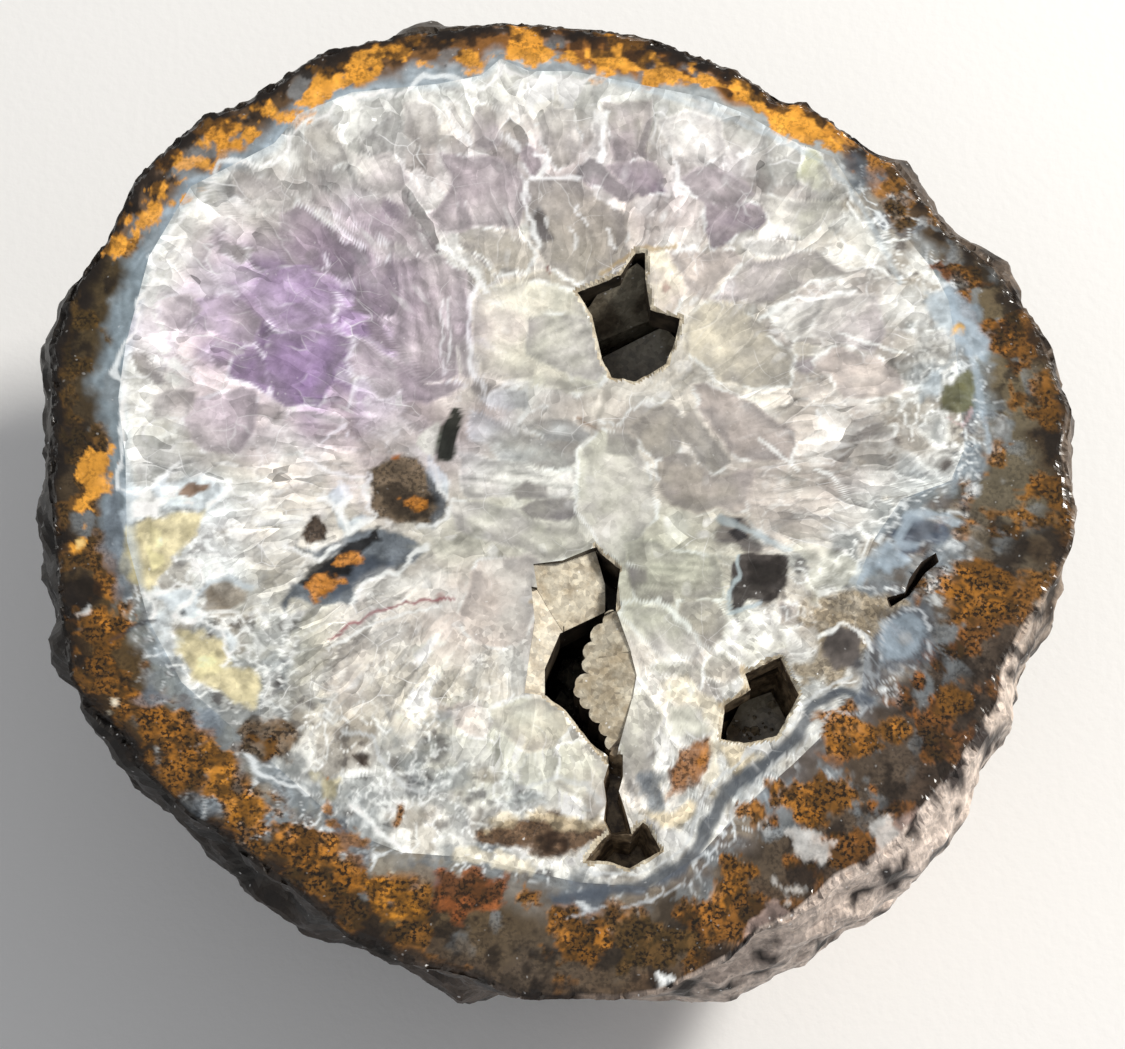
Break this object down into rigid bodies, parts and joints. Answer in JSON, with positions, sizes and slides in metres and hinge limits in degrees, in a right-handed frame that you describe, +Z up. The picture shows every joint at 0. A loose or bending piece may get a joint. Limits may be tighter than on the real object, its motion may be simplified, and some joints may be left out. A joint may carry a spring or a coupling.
{
  "type": "geode half",
  "caption": "Sawn and polished half of a rounded stone: rough agate and moss rind, quartz fill with small crystal-lined hollows, resting on its curved underside.",
  "frame": {"origin": "middle of the bounding box in X and Y, at the height of the flat that the stone rests on", "axes": "+Z up, out of the sawn face; +X to the right and +Y away from the viewer of the picture"},
  "size_m": [0.1064, 0.1076, 0.048],
  "materials": {
    "rind": "rough outside, polished on the sawn face",
    "quartz": "polished, milky and faintly violet",
    "hollow_crystals": "crystal faces dusted with tan sand"
  },
  "bodies": {
    "root": {"rind": "rind", "quartz_fill": "quartz", "upper_hollow_crystals": "hollow_crystals", "lower_hollow_crystals": "hollow_crystals", "side_hollow_crystals": "hollow_crystals"}
  },
  "joints": []
}
